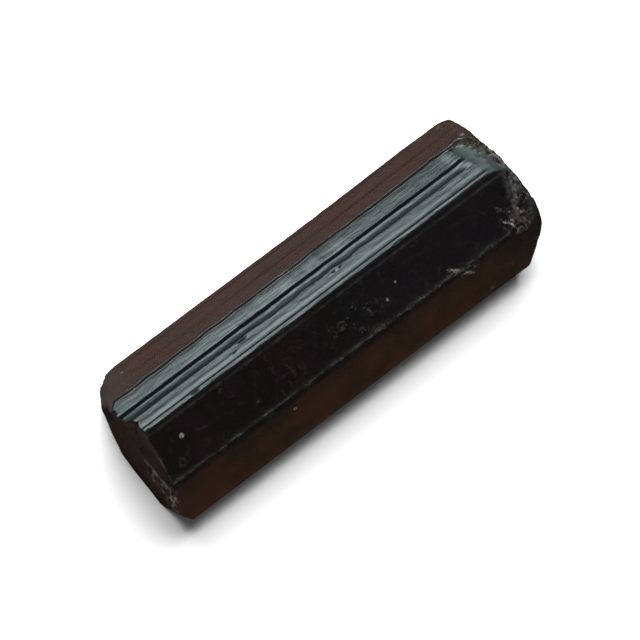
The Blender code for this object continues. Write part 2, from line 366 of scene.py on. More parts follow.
# The rows between these shares are the wide groove that jags run along. Its rows stop short of
# the right end, the others nearer to it, and past them the worn crest leans by WORN_LEAN.
WIDE_GROOVE = (0.37, 0.46)
WIDE_GROOVE_STOPS, LEDGES_STOP = 14.3, 15.3
WORN_LEAN = -1.6
# Where along the crystal a row's three leans hold.
LEANS_AT = (-13, -2, 13)
# How far each jag steps, and how far they all stand off, as shares of the crest's width.
JAG_STEP, JAG_OFFSET = 0.013, 0.012
# How far the crest lies below its plain face, and how rough it is past the ledges.
CREST_DROP, WORN_ROUGH = 0.01, 0.014
# The deepest groove splits the crest: its place at the left and right, as a share of the width,
# then its widths and its depth.
BLACK_GROOVE = (0.621, 0.604, 0.32, 0.30, 0.19)


def from_end_to_end(left, right):
    """A value that changes evenly along the crystal, at every point of the skin."""
    return left + (right - left) * (spots[:, 0] + SPAN) / (2 * SPAN)


x = spots[:, 0]
sink = np.zeros(len(spots))
dull_and_shaded = np.zeros(len(spots))
furrow = np.zeros(len(spots))
for order, (face, lift) in enumerate(LINES.items()):
    on_face = ease(face_share[face], 0.5, 0.95)
    across = (spots - HEART) @ sideways(FACES[face][0] + 90)
    height = np.zeros(len(x))
    for seed, per_mm_along, per_mm_across, high in LINE_LAYERS:
        own_layer = np.full(len(x), order * 3.3)
        at = np.stack((x * per_mm_along, across * per_mm_across, own_layer), 1)
        height += high * lattice_noise(seed, at)
    sink += on_face * lift * (height - LINE_TOP)
    for left, right, width, depth in GROOVES.get(face, ()):
        apart = np.abs(across - from_end_to_end(left, right)) / (width / 2)
        sink -= depth * on_face * (1 - ease(apart, 0.35, 1.0))
        furrow += on_face * (1 - ease(apart, 0.6, 2.4)) * (face == "upper_far")

# The ledges' heights are summed up across the crest. They die out before the right end, and the
# wide groove is ragged along the middle of the crystal.
low = from_end_to_end(*(corner_across("crest", "upper_near", end) for end in (-SPAN, SPAN)))
high = from_end_to_end(*(corner_across("crest", "upper_far", end) for end in (-SPAN, SPAN)))
crest_share = ((spots - HEART) @ sideways(FACES["crest"][0] + 90) - low) / (high - low)
steps = np.stack((x * 1.4, x * 0, x * 0), 1)
jags = np.round(1.6 * rough_noise(23, steps, 2)) * JAG_STEP + JAG_OFFSET
jags *= ease(x, -8, -5) * (1 - ease(x, 4, 7))
waver = 0.0035 * rough_noise(24, np.stack((x * 1.9, crest_share * 14, x * 0), 1), 2)
ledge_height = np.zeros(len(x))
for this, after in zip(LEDGES[:-1], LEDGES[1:]):
    in_wide, in_wide_after = (WIDE_GROOVE[0] < row[0] < WIDE_GROOVE[1] for row in (this, after))
    begin = from_end_to_end(*this[:2]) + jags * in_wide + waver
    length = from_end_to_end(*after[:2]) + jags * in_wide_after + waver - begin
    part = np.clip((crest_share - begin) / length, 0, 1)
    stops = WIDE_GROOVE_STOPS if in_wide else LEDGES_STOP
    fade = ease(x, stops - 0.3, stops + 0.5)
    lean, lean_after = (
        np.tan(np.radians(np.interp(x, LEANS_AT, row[2:5]) * (1 - fade) + WORN_LEAN * fade))
        for row in (this, after)
    )
    ledge_height += length * (high - low) * (lean * part + (lean_after - lean) * part**2 / 2)
    dull_and_shaded_here = (this[5] + (after[5] - this[5]) * part) * (1 - fade)
    dull_and_shaded = np.where((part > 0) & (part < 1), dull_and_shaded_here, dull_and_shaded)
on_crest = ease(face_share["crest"], 0.3, 0.9)
left, right, left_width, right_width, depth = BLACK_GROOVE
apart = np.abs((crest_share - from_end_to_end(left, right)) * (high - low))
apart /= from_end_to_end(left_width, right_width) / 2
cut = on_crest * (1 - ease(x, 14.7, 15.3)) * (1 - ease(apart, 0.45, 1.0))
worn_out = on_crest * ease(x, 14.7, 15.6)
spots += facing * (sink - depth * cut + on_crest * (ledge_height - CREST_DROP))[:, None]
spots += facing * (worn_out * WORN_ROUGH * rough_noise(27, spots * 2.0, 3))[:, None]
# The dull ledges and the black groove are also painted dark in the finish, as shade.
dull_and_shaded = np.maximum(dull_and_shaded * on_crest, cut)

# The ends are uneven. The left one is gently hackly, lumpy half way up its near side and sunk
# beyond a ridge that runs down it. The right one is worn to a rough crust where the crest and the
# upper near face run out. The ridge is given as y against z, the rim of the crust as x against y.
LEFT_HACKLE, LUMP_HEIGHT, LEFT_SUNK = 0.035, 0.09, 0.10
RIGHT_HACKLE, CRUST_ROUGH = 0.02, 0.055
left_end = sum(face_share[name] for name in ("left_square", "left_under_corner"))
right_end = sum(face_share[name] for name in RIGHT_FACES)
RIDGE_Z = (0.0, 1.0, 1.7, 2.8, 3.2, 3.9, 7.0, 9.0)
RIDGE_Y = (-4.9, -4.6, -4.2, -3.6, -2.9, -1.9, -0.6, -1.0)
past_ridge = spots[:, 1] - np.interp(spots[:, 2], RIDGE_Z, RIDGE_Y)
past_ridge += 0.16 * lattice_noise(33, spots * 2.3)
red_side = ease(past_ridge, -0.05, 0.15)
CRUST_Y = (-5.6, -5.2, -4.6, -4.1, -3.7, -3.2, -2.8, -2.2, -1.7, -0.2, 1.1, 1.9, 2.4)
CRUST_X = (14.7, 14.5, 14.5, 15.0, 15.8, 16.0, 16.3, 16.6, 16.2, 16.3, 16.3, 16.2, 16.0)
past_rim = x - np.interp(spots[:, 1], CRUST_Y, CRUST_X) + 0.22 * rough_noise(34, spots * 1.9, 3)
crust = ease(past_rim, -0.12, 0.12) * (1 - ease(spots[:, 1], 2.2, 2.9))
crust *= ease(spots[:, 2], 5.5, 6.3)
sunk = red_side * (1 - ease(past_ridge, 0.3, 2.4)) * (1 - crest_tip)
spots += facing * (left_end * LEFT_HACKLE * (rough_noise(31, spots * 1.3, 4) - 0.3))[:, None]
lumps = left_end * ease(spots[:, 2], 2.0, 2.8) * (1 - ease(spots[:, 2], 4.6, 5.4))
lumps *= 1 - ease(spots[:, 1], -2.4, -1.6)
spots += facing * (lumps * LUMP_HEIGHT * (rough_noise(35, spots * 3.2, 3) - 0.5))[:, None]
spots -= facing * (face_share["left_square"] * LEFT_SUNK * sunk)[:, None]
spots += facing * (right_end * RIGHT_HACKLE * (rough_noise(41, spots * 1.7, 4) - 0.3))[:, None]
spots += facing * (crust * CRUST_ROUGH * (rough_noise(51, spots * 3.0, 4) - 0.5))[:, None]

# A chip's rim and floor waver by these shares of its radius and its depth. It leaves the stone
# there fresh, and its depth is kept for the finish.
RIM_WAVER, FLOOR_WAVER = 0.22, 0.18
fresh = np.zeros(len(spots))
depth_in = np.zeros(len(spots))


def break_out(centre, face_normal, run, half_length, half_width, depth, seed):
    """Breaks a shallow shell-shaped chip out of the skin, wherever the skin stands in it."""
    side = np.cross(face_normal, run)
    offset = spots - centre
    close = np.linalg.norm(offset, axis=1) < 1.5 * max(half_length, half_width, depth)
    close &= facing @ face_normal > -0.3
    offset = offset[close]
    ripple = rough_noise(seed + 61, spots[close] * 5 + seed, 3)
    radius = np.hypot(offset @ run / half_length, offset @ side / half_width)
    radius *= 1 + RIM_WAVER * ripple
    floor = -depth * np.sqrt(np.clip(1 - radius**2, 0, 1)) * (1 + FLOOR_WAVER * ripple)
    height = offset @ face_normal
    over = np.where(radius < 1, np.maximum(height - floor, 0), 0)
    spots[close] -= over[:, None] * face_normal
    fresh[close] = np.maximum(fresh[close], ease(over, 0.0, 0.02))
    depth_in[close] = np.maximum(depth_in[close], over)


# Chips and notches: a face, a point beside it, half length, half width, depth.
ALONG = np.array((1.0, 0.0, 0.0))
CHIPS = (
    ("left_far_corner", (-13.90, 5.50, 1.65), 0.55, 0.60, 0.30),
    ("left_square", (-16.18, -4.79, 5.80), 0.32, 0.45, 0.11),
    ("near", (9.60, -5.20, 6.60), 0.40, 0.18, 0.10),
    ("near", (10.20, -5.38, 6.10), 0.40, 0.30, 0.10),
    ("near", (12.60, -5.19, 6.59), 0.35, 0.14, 0.08),
    ("near", (15.00, -5.25, 6.45), 0.60, 0.40, 0.22),
    ("upper_near", (15.20, -4.30, 7.45), 0.45, 0.45, 0.10),
    ("upper_near", (15.30, -3.20, 8.18), 0.42, 0.42, 0.16),
    ("right_upper", (16.30, -2.40, 8.45), 0.20, 0.22, 0.20),
    ("right_upper", (16.48, -2.87, 7.92), 0.12, 0.18, 0.16),
    ("right_crest", (16.39, 0.67, 7.76), 0.10, 0.10, 0.14),
    ("right_upper", (16.40, -4.30, 6.75), 0.50, 0.60, 0.20),
    ("right_crest", (16.65, -0.46, 8.22), 0.14, 0.28, 0.20),
    ("crest", (-6.30, -0.33, 8.40), 0.30, 0.12, 0.05),
    ("crest", (-7.32, -0.80, 8.68), 0.16, 0.10, 0.04),
    ("crest", (2.30, -0.31, 8.40), 0.30, 0.13, 0.05),
    ("crest", (-1.18, -0.04, 8.23), 0.22, 0.10, 0.05),
    ("crest", (6.57, -1.70, 9.22), 0.14, 0.10, 0.05),
    ("crest", (-11.40, -1.58, 9.12), 0.14, 0.12, 0.04),
    ("lower_far", (-14.20, 5.38, 0.57), 0.90, 0.80, 0.36),
    ("near", (16.45, -5.95, 3.50), 0.50, 0.60, 0.26),
)
for order, (face, beside, half_length, half_width, depth) in enumerate(CHIPS):
    around, tilt, reach = FACES[face]
    normal = outward(around, tilt)
    run = ALONG - normal * normal[0]
    run /= np.linalg.norm(run)
    centre = np.array(beside) + normal * (reach - normal @ (np.array(beside) - HEART))
    break_out(centre, normal, run, half_length, half_width, depth, order)

# Small flakes are gone from the edges and ends.
dice = np.random.default_rng(7)


def flake_off(where, count, small, large, deep):
    """Breaks small flakes out of the skin at random places of a part of it."""
    for spot in dice.choice(np.flatnonzero(where), count):
        centre, normal = spots[spot].copy(), facing[spot].copy()
        size = small + (large - small) * dice.random() ** 2
        run = np.cross(normal, dice.normal(size=3))
        run /= np.linalg.norm(run)
        slimness = dice.uniform(0.55, 1.0)
        break_out(centre, normal, run, size, size * slimness, size * deep, spot)


worn_edge = share.max(1) < 0.72
flake_off(crust > 0.5, 150, 0.07, 0.30, 0.42)
flake_off((right_end > 0.5) & (crust < 0.5) & (spots[:, 2] > 5), 12, 0.08, 0.35, 0.25)
flake_off(worn_edge & (x > 15.2) & (spots[:, 2] > 5), 40, 0.06, 0.26, 0.4)
flake_off(worn_edge & (x < -15.2), 40, 0.05, 0.22, 0.35)
flake_off((left_end > 0.6) & (np.abs(past_ridge) < 0.25), 50, 0.06, 0.26, 0.35)
near_edge = worn_edge & (face_share["near"] > 0.2) & (face_share["upper_near"] > 0.2)
flake_off(near_edge & (x > 9), 14, 0.05, 0.20, 0.4)
flake_off(worn_edge & (np.abs(x) < 15) & (spots[:, 2] > 1), 40, 0.03, 0.08, 0.5)

# The skin goes to metres from its foot, and stays inside the box of the plain crystal.
low, high = (np.array(corner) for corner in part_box("tourmaline_crystal"))
for vert, spot in zip(skin.verts, np.clip((spots - FOOT) * MM, low, high)):
    vert.co = spot
bmesh.ops.recalc_face_normals(skin, faces=skin.faces)
mesh = bpy.data.meshes.new("crystal")
skin.to_mesh(mesh)
skin.free()
mesh.shade_smooth()
crystal = bpy.data.objects.new("crystal", mesh)
bpy.context.scene.collection.objects.link(crystal)


def edge_between(first, second):
    """1 along the edge where two groups of faces meet, 0 away from it."""
    return 4 * sum(face_share[name] for name in first) * sum(face_share[name] for name in second)


def below(face, upper):
    """How far down a face each point lies from its upper edge, as it stands at the middle."""
    return corner_across(face, upper, 0) - (spots - HEART) @ sideways(FACES[face][0] + 90)


# What the stone's finish needs to know of each place on the skin, first how far down the near
# face it lies, then the thin lines, among them dark lines of painted shade, and where the stone is
# scuffed or painted with pale highlights.
FAINT_LINE_DROP = 0.38
near_drop = below("near", "upper_near")
near_drop += 0.12 * rough_noise(71, spots * np.array((1.2, 3, 3)), 2)
down_near = 0.7 * ease(near_drop, 0.45, 0.9) + 0.3 * ease(near_drop, 1.0, 3.4)
from_faint_line = np.abs(below("upper_near", "crest") - FAINT_LINE_DROP)
faint_line = face_share["upper_near"] * (1 - ease(from_faint_line, 0.03, 0.15))
# Painted shade: a dark line where the crest meets the left end, and more along the left end's foot
# by the table.
dark_line = edge_between(["crest"], LEFT_FACES)
dark_line += 0.6 * left_end * (1 - ease(spots[:, 2], 0.4, 1.3))
edge_line = edge_between(["near"], ["upper_near"]) ** 0.6 * (1 - ease(x, 13.6, 14.6))
edge_line += 0.8 * edge_between(["upper_near"], LEFT_FACES)
edge_line += 0.8 * edge_between(["upper_near", "crest"], ["right_upper"])
edge_line += (
    0.25 * edge_between(["near"], LEFT_FACES) + 0.1 * edge_between(["crest"], ["upper_far"])
)
scuffs_and_highlights = 0.40 * crust + 0.25 * ease(edge_line, 0.1, 0.8)
# Pale flecks along the left end's ridge are painted highlights where its bumps catch the light.
on_ridge = 0.7 * left_end * (1 - ease(np.abs(past_ridge), 0.08, 0.35))
scuffs_and_highlights += on_ridge * (1 - ease(spots[:, 2], 5.5, 7.5))

# Places that are scuffed: the middle of each, how far round it, and how much.
SCUFFS = (
    ((9.2, -5.15, 6.7), 0.7, 0.35),
    ((10.2, -5.4, 6.0), 0.8, 0.45),
    ((14.9, -4.6, 7.0), 1.3, 0.36),
    ((15.4, -5.2, 6.2), 1.0, 0.28),
    ((13.5, -5.95, 3.7), 0.9, 0.30),
    ((11.7, -6.3, 2.5), 0.5, 0.25),
    ((-16.1, -4.9, 5.6), 0.9, 0.40),
    ((2.3, -0.3, 8.4), 0.7, 0.5),
    ((1.5, -3.9, 7.7), 2.2, 0.10),
    ((-0.4, -3.6, 7.9), 1.2, 0.10),
    ((-5.3, -4.1, 7.6), 1.6, 0.08),
    ((15.2, 5.9, 2.8), 1.0, 0.35),
    ((16.6, 5.7, 3.0), 1.0, 0.45),
    ((17.2, 4.2, 4.6), 1.3, 0.25),
    ((16.2, 1.7, 7.2), 0.6, 0.30),
)
for place, radius, much in SCUFFS:
    apart = np.linalg.norm(spots - np.array(place), axis=1)
    scuffs_and_highlights += much * (1 - ease(apart, radius * 0.3, radius))

# Long scratches: how pale each is, then the points it runs through. A scratch is full as far from
# its line as the first of SCRATCH_HALF and gone at the second.
SCRATCH_HALF = (0.02, 0.11)
STROKES = (
    (0.69, ((14.12, -4.59, 7.19), (14.39, -4.71, 7.10), (14.53, -4.95, 6.93))),
    (0.69, ((14.53, -4.95, 6.93), (14.77, -5.20, 6.58))),
    (0.69, ((14.77, -5.20, 6.58), (15.01, -5.18, 6.63), (15.30, -5.06, 6.72))),
    (0.16, ((14.11, -3.85, 7.73), (14.41, -3.94, 7.66), (14.58, -4.06, 7.57))),
    (0.16, ((14.19, -3.64, 7.88), (14.40, -3.82, 7.75))),
    (0.37, ((15.39, -4.62, 7.07), (15.81, -4.55, 6.84), (16.21, -4.56, 6.55))),
    (0.23, ((15.57, -4.37, 7.18), (15.96, -4.35, 6.92))),
    (0.40, ((8.73, -4.87, 6.99), (9.13, -5.10, 6.81), (9.60, -5.23, 6.45), (9.97, -5.23, 6.45))),
    (0.57, ((9.51, -5.36, 5.97), (9.84, -5.36, 5.97), (10.16, -5.41, 5.78), (10.55, -5.53, 5.34))),
    (0.32, ((10.12, -5.23, 6.45), (10.50, -5.31, 6.13), (10.81, -5.40, 5.82))),
    (0.09, ((-0.50, -3.84, 7.73), (-0.19, -3.98, 7.63), (-0.03, -3.84, 7.73))),
    (0.10, ((1.86, -3.56, 7.94), (2.26, -3.85, 7.72), (2.36, -4.20, 7.47), (2.16, -4.32, 7.38))),
    (0.07, ((-4.88, -3.83, 7.74), (-4.75, -4.41, 7.32))),
    (0.14, ((-8.17, -4.46, 7.28), (-7.97, -4.29, 7.41))),
    (0.10, ((12.37, -5.80, 4.31), (12.89, -5.94, 3.81))),
    (0.09, ((13.04, -6.00, 3.57), (13.83, -6.04, 3.44))),
    (0.10, ((11.58, -6.32, 2.36), (12.15, -6.23, 2.72))),
    (0.09, ((-14.87, -4.27, 7.42), (-14.63, -4.38, 7.34), (-14.61, -4.63, 7.15))),
    (0.09, ((-14.61, -4.63, 7.15), (-14.83, -4.78, 7.05))),
    (0.09, ((-14.83, -4.78, 7.05), (-15.08, -4.63, 7.15), (-15.06, -4.38, 7.34))),
    (0.05, ((-12.76, -3.53, 7.96), (-12.19, -3.64, 7.87))),
    (0.16, ((-9.96, -2.50, 8.71), (-9.74, -2.58, 8.65))),
    (0.09, ((-1.45, -4.42, 7.31), (-1.32, -4.31, 7.39))),
)
stroke = np.zeros(len(spots))
for much, run in STROKES:
    for first, second in zip(np.array(run[:-1]), np.array(run[1:])):
        step = second - first
        reached = np.clip((spots - first) @ step / np.sum(step**2), 0, 1)
        offset = spots - first - reached[:, None] * step
        outwards = np.sum(offset * facing, 1)
        apart = np.sqrt(np.maximum(np.sum(offset**2, 1) - outwards**2, 0))
        on_skin = np.abs(outwards) < 0.4
        stroke = np.maximum(stroke, much * (1 - ease(apart, *SCRATCH_HALF)) * on_skin)

# The worn right end of the crest is painted grey, as a painted reflection of the window that its
# tilted facets no longer mirror, and its far part is veiled like the upper far face. A chip as
# deep as DEEP_CHIP is painted darkest, as shade in its bottom.
crest_end = face_share["right_crest"] + face_share["right_crown"] + worn_out
far_end = crest_end * ease(spots[:, 1], 2.0, 2.5)
veiled = sum(face_share[name] for name in ("upper_far", "left_far_corner", "right_far")) + far_end
near_side = ease(spots[:, 1] + 0.08 * rough_noise(72, spots * 2, 2), -4.95, -4.8)
DEEP_CHIP = 0.15

# Each of these goes to the finish as a mask from 0 to 1.
for name, values in (
    ("on_crest", face_share["crest"]),
    ("veiled", veiled),
    ("on_upper_near", face_share["upper_near"] + face_share["right_upper"]),
    ("down_near", down_near),
    ("left_part", ease(-x, 11.0, 15.5)),
    ("right_part", ease(x, 10.5, 14.5)),
    ("right_half", ease(x, -3.0, 4.0)),
    ("near_foot", face_share["near"] * (1 - ease(spots[:, 2], 2.1, 3.0))),
    ("faint_line", faint_line),
    ("near_rim", face_share["near"] * (1 - ease(near_drop, 0.35, 0.8))),
    ("dark_line", dark_line),
    ("stroke", stroke),
    ("furrow", furrow),
    ("lumps", lumps * (0.6 + 0.4 * ease(-spots[:, 1], 3.4, 4.4))),
    ("high", ease(spots[:, 2], 7.2, 8.2)),
    ("left_end", left_end * near_side),
    ("left_corner", face_share["left_far_corner"]),
    ("red_side", red_side),
    ("rim", left_end * ease(spots[:, 1], 0.6, 3.0)),
    ("crest_end", crest_end * (1 - crust) - far_end),
    ("crust", crust),
    ("edge_line", edge_line),
    ("dull_and_shaded", dull_and_shaded),
    ("fresh_break", fresh),
    ("depth_in", depth_in / DEEP_CHIP),
    ("scuffs_and_highlights", scuffs_and_highlights),
):
    mesh.attributes.new(name, "FLOAT", "POINT").data.foreach_set(
        "value", np.clip(values, 0, 1).astype(np.float32)
    )


class Socket:
    """A value in a node tree that Python's arithmetic works on."""

    def __init__(self, tree, output):
        self.tree = tree
        self.output = output

    def sum_with(self, operation, first, second):
        """The result of an operation on two values, either of which may be a plain number."""
        node = self.tree.nodes.new("ShaderNodeMath")
        node.operation = operation
        for slot, value in enumerate((first, second)):
            if isinstance(value, Socket):
                self.tree.links.new(value.output, node.inputs[slot])
            else:
                node.inputs[slot].default_value = value
        return Socket(self.tree, node.outputs[0])

    def __add__(self, other):
        return self.sum_with("ADD", self, other)

    def __radd__(self, other):
        return self.sum_with("ADD", other, self)

    def __sub__(self, other):
        return self.sum_with("SUBTRACT", self, other)

    def __rsub__(self, other):
        return self.sum_with("SUBTRACT", other, self)

    def __mul__(self, other):
        return self.sum_with("MULTIPLY", self, other)

    def __rmul__(self, other):
        return self.sum_with("MULTIPLY", other, self)


class Finish:
    """A material, and the one way that its nodes are made."""

    def __init__(self, name):
        self.material = bpy.data.materials.new(name)
        self.material.use_nodes = True
        self.tree = self.material.node_tree
        self.tree.nodes.clear()

    def node(self, kind, settings=(), out=0, **values):
        """A node of a kind: its settings, then its sockets by name or, as i0, by number."""
        made = self.tree.nodes.new("ShaderNode" + kind)
        for key, value in dict(settings).items():
            setattr(made, key, value)
        for key, value in values.items():
            numbered = key[0] == "i" and key[1:].isdigit()
            slot = made.inputs[int(key[1:]) if numbered else key.replace("_", " ")]
            if isinstance(value, Socket):
                self.tree.links.new(value.output, slot)
            else:
                slot.default_value = value
        return Socket(self.tree, made.outputs[out]) if made.outputs else None

    def put_on(self, mesh, shader):
        """Ends the node tree with a shader and gives the material to a mesh."""
        self.node("OutputMaterial", Surface=shader)
        mesh.materials.append(self.material)

    def clamped(self, value):
        """A value kept between 0 and 1."""
        return self.node("Clamp", Value=value)

    def mask(self, name):
        """One of the masks that the skin carries."""
        return self.node("Attribute", {"attribute_name": name}, out=2)

    def between(self, value, low, high):
        """0 below low, 1 above high, and smooth between."""
        return self.node(
            "MapRange",
            {"interpolation_type": "SMOOTHSTEP"},
            Value=value,
            From_Min=low,
            From_Max=high,
        )

    def colour(self, share, first, second):
        """The first colour, and as much of the second as its share says."""
        return self.node("Mix", {"data_type": "RGBA"}, out=2, i0=share, i6=first, i7=second)

    def place(self, stretch):
        """Places on the piece, stretched along each axis."""
        at = self.node("TexCoord", out=3)
        return self.node("Mapping", Vector=at, Scale=stretch)

    def noise(self, place, scale, detail, rough):
        """A random value from about 0 to 1, in bumps of so many to a metre."""
        return self.node("TexNoise", Vector=place, Scale=scale, Detail=detail, Roughness=rough)

    def near_to(self, place, spot, radius):
        """1 at a spot given in the tables' mm, fading to 0 at a radius."""
        centre = tuple((np.array(spot) - FOOT) * MM)
        apart = self.node("VectorMath", {"operation": "DISTANCE"}, out=1, i0=place, i1=centre)
        return 1.0 - self.between(apart, radius * 0.4 * MM, radius * MM)


def paint(red, green, blue):
    """A colour from its sRGB bytes."""
    linear = [
        (c / 255 / 12.92) if c / 255 <= 0.04045 else ((c / 255 + 0.055) / 1.055) ** 2.4
        for c in (red, green, blue)
    ]
    return (*linear, 1.0)


# Noises that are drawn out along the crystal give its streaks, even ones its clouds and grit.
stone = Finish("tourmaline")
lengthwise = stone.place((0.045, 1.0, 1.0))
oblong = stone.place((0.30, 1.0, 1.0))
even = stone.place((1.0, 1.0, 1.0))
ledge_dull_and_shade = stone.mask("dull_and_shaded")
broken = stone.mask("fresh_break")
chip_shade = stone.mask("depth_in")
fleck_mask = stone.mask("scuffs_and_highlights")
line = stone.mask("edge_line")
crusty = stone.mask("crust")
at_left = stone.mask("left_end")

streak = stone.noise(lengthwise, 1500.0, 4.0, 0.6)
fine_streak = stone.noise(lengthwise, 5200.0, 3.0, 0.6)
mottle = stone.noise(oblong, 3400.0, 2.0, 0.5)
patch = stone.noise(oblong, 1300.0, 2.0, 0.5)
cloud = stone.noise(even, 330.0, 4.0, 0.55)
blotch = stone.noise(even, 1500.0, 3.0, 0.6)
grit = stone.noise(even, 6500.0, 3.0, 0.6)
pock = stone.noise(even, 3600.0, 2.0, 0.5)
curl = stone.noise(even, 1700.0, 2.0, 0.5) - 0.5
scratch = 1.0 - stone.between(curl * curl, 0.0, 0.0018)

# The stone is almost black. It shows brown where light gets into it: thinly veiled on the upper
# far face, warmer down the near face, and red over half of the left end.
BLACK = paint(11, 8, 8)
GREEN_BLACK = paint(12, 11, 9)
VIOLET_BLACK = paint(12, 9, 10)
GREY_BLACK = paint(15, 13, 15)
CREST = paint(13, 17, 17)
VEILED = paint(57, 42, 39)
VEILED_GREY = paint(53, 43, 39)
DARK_VEIL = paint(42, 26, 22)
PALE_VEIL = paint(60, 51, 45)
# The next colour paints light onto the left far corner, which its tilt turns away from the lamps.
CORNER_PAINTED_LIGHT = paint(70, 60, 53)
EMBER = paint(54, 28, 8)
OLIVE_EMBER = paint(41, 27, 9)
RED_EMBER = paint(50, 21, 9)
LEFT_EMBER = paint(60, 28, 18)
RUST = paint(84, 34, 18)
RED_END = paint(58, 32, 20)
RED_END_TOP = paint(82, 46, 36)
BROWN_END = paint(46, 34, 23)
# The next colour is a painted reflection: the window's glare on the crest's worn right end, whose
# facets no longer mirror it.
CREST_END_REFLECTION = paint(52, 60, 59)
CRUST = paint(46, 43, 36)
# The next colour is the crust's dark, and also the painted shade of the dark lines round the left
# end.
DARK_CRUST_AND_SHADE = paint(19, 17, 13)
GREY_CRUST = paint(76, 78, 72)
# The next colour is painted shade for the crest's dull ledges and grooves.
PAINTED_SHADE = paint(5, 13, 17)
FLECK = paint(165, 165, 155)

# The near face and all that is not painted over below: ember brown, black along the top.
tone = stone.colour(stone.between(cloud, 0.42, 0.58), OLIVE_EMBER, EMBER)
tone = stone.colour(stone.between(blotch, 0.52, 0.72) * 0.6, tone, RED_EMBER)
tone = stone.colour(stone.mask("left_part") * 0.5, tone, LEFT_EMBER)
tone = stone.colour(stone.mask("right_part") * 0.35, tone, BLACK)
tone = stone.colour(stone.mask("near_foot") * stone.between(pock, 0.50, 0.62) * 0.5, tone, RUST)
tone = stone.colour(stone.clamped(stone.mask("down_near") + 0.3 * (cloud - 0.5)), BLACK, tone)

# The upper far face: a thin brown veil, with its furrows painted darker as shade in the grooves,
# and palest at the left corner, which is painted paler to make up for the light its tilt turns
# away.
veil = stone.colour(stone.between(cloud, 0.42, 0.58), VEILED, VEILED_GREY)
veil = stone.colour(stone.between(streak, 0.52, 0.72) * 0.35, veil, OLIVE_EMBER)
veil = stone.colour(stone.between(fine_streak, 0.48, 0.62) * 0.40, veil, RED_EMBER)
veil = stone.colour(stone.between(mottle, 0.50, 0.70) * 0.35, veil, DARK_VEIL)
# The furrows are painted darker, as shade in the grooves.
furrow_shade = stone.mask("furrow") * (0.25 + 0.55 * stone.between(streak, 0.36, 0.60))
veil = stone.colour(furrow_shade, veil, DARK_VEIL)
veil = stone.colour(stone.mask("left_part") * 0.5, veil, PALE_VEIL)
veil = stone.colour(stone.mask("right_part") * 0.25, veil, DARK_VEIL)
veil = stone.colour(stone.mask("left_corner") * 0.6, veil, CORNER_PAINTED_LIGHT)
tone = stone.colour(stone.mask("veiled"), tone, veil)

# The upper near face is black, and the crest blue black under the window's reflection.
gloom = stone.colour(stone.between(cloud, 0.44, 0.56), GREEN_BLACK, VIOLET_BLACK)
gloom = stone.colour(stone.mask("right_half") * 0.8, gloom, GREY_BLACK)
gloom = stone.colour(stone.between(cloud, 0.50, 0.64) * 0.05, gloom, VEILED)
tone = stone.colour(stone.mask("on_upper_near"), tone, gloom)
tone = stone.colour(stone.mask("on_crest"), tone, CREST)

# The left end: brown on one side of its ridge and red on the other, with dark pits.
end_tone = stone.colour(stone.mask("red_side"), BROWN_END, RED_END)
end_tone = stone.colour(stone.between(blotch, 0.48, 0.72) * 0.35, end_tone, OLIVE_EMBER)
end_tone = stone.colour(stone.between(mottle, 0.56, 0.70) * 0.6, end_tone, RED_EMBER)
end_tone = stone.colour(stone.mask("high") * 0.5, end_tone, RED_END_TOP)
end_tone = stone.colour(stone.between(pock, 0.57, 0.64) * 0.8, end_tone, DARK_CRUST_AND_SHADE)
dark_rim = stone.mask("rim") * stone.between(cloud, 0.40, 0.52) * 0.6
end_tone = stone.colour(dark_rim, end_tone, DARK_CRUST_AND_SHADE)
tone = stone.colour(at_left, tone, end_tone)

# The right end: the worn end of the crest, painted grey as a reflection of the window, and the
# crust, greyer towards its top.
tone = stone.colour(stone.mask("crest_end"), tone, CREST_END_REFLECTION)
crust_tone = stone.colour(stone.between(blotch, 0.42, 0.56), CRUST, DARK_CRUST_AND_SHADE)
grey_tone = stone.colour(stone.between(blotch, 0.44, 0.54), GREY_CRUST, DARK_CRUST_AND_SHADE)
crust_tone = stone.colour(stone.mask("high"), crust_tone, grey_tone)
crust_tone = stone.colour(stone.between(pock, 0.54, 0.62) * 0.8, crust_tone, DARK_CRUST_AND_SHADE)
tone = stone.colour(crusty * 0.95, tone, crust_tone)

# What the light does not reach is painted dark, as shade: the crest's dull ledges and grooves,
# the lines round the left end and its foot, and the bottoms of the chips.
tone = stone.colour(ledge_dull_and_shade * 0.85, tone, PAINTED_SHADE)
tone = stone.colour(stone.mask("dark_line") * 0.7, tone, DARK_CRUST_AND_SHADE)
tone = stone.colour(stone.between(chip_shade, 0.40, 0.95) * 0.65, tone, BLACK)

# Scuffs show as pale flecks and curling scratches, thick where the stone is knocked about, and a
# thin pale line runs along the edges. The pale flecks on the left end's ridge and lumps are
# painted highlights. A few specks lie by themselves, the last two of them soft painted highlights
# on the left end's near side: place, radius, how pale.
SPECKS_AND_HIGHLIGHTS = (
    ((-13.90, -3.26, 8.15), 0.22, 1.0),
    ((-9.31, 1.66, 7.26), 0.20, 0.5),
    ((3.74, -4.09, 7.55), 0.15, 0.6),
    ((4.92, -3.53, 7.96), 0.14, 0.25),
    ((-5.83, -5.56, 5.21), 0.20, 0.45),
    ((0.12, 2.36, 6.76), 0.15, 0.5),
    ((-12.97, 4.74, 3.73), 0.22, 0.22),
    ((2.30, -0.31, 8.40), 0.26, 0.6),
    ((15.97, 2.25, 6.92), 0.26, 0.65),
    ((16.20, 0.45, 7.93), 0.20, 0.35),
    ((-16.25, -4.87, 6.19), 0.35, 0.12),
    ((-16.25, -4.76, 4.97), 0.35, 0.08),
)
torn = stone.between(blotch + 0.10 * fleck_mask, 0.50, 0.62)
pale = torn * (scratch * 0.35 + stone.between(grit, 0.50, 0.68) * 0.22) * fleck_mask
pale = pale + line * (0.025 + 0.045 * stone.between(mottle, 0.35, 0.65))
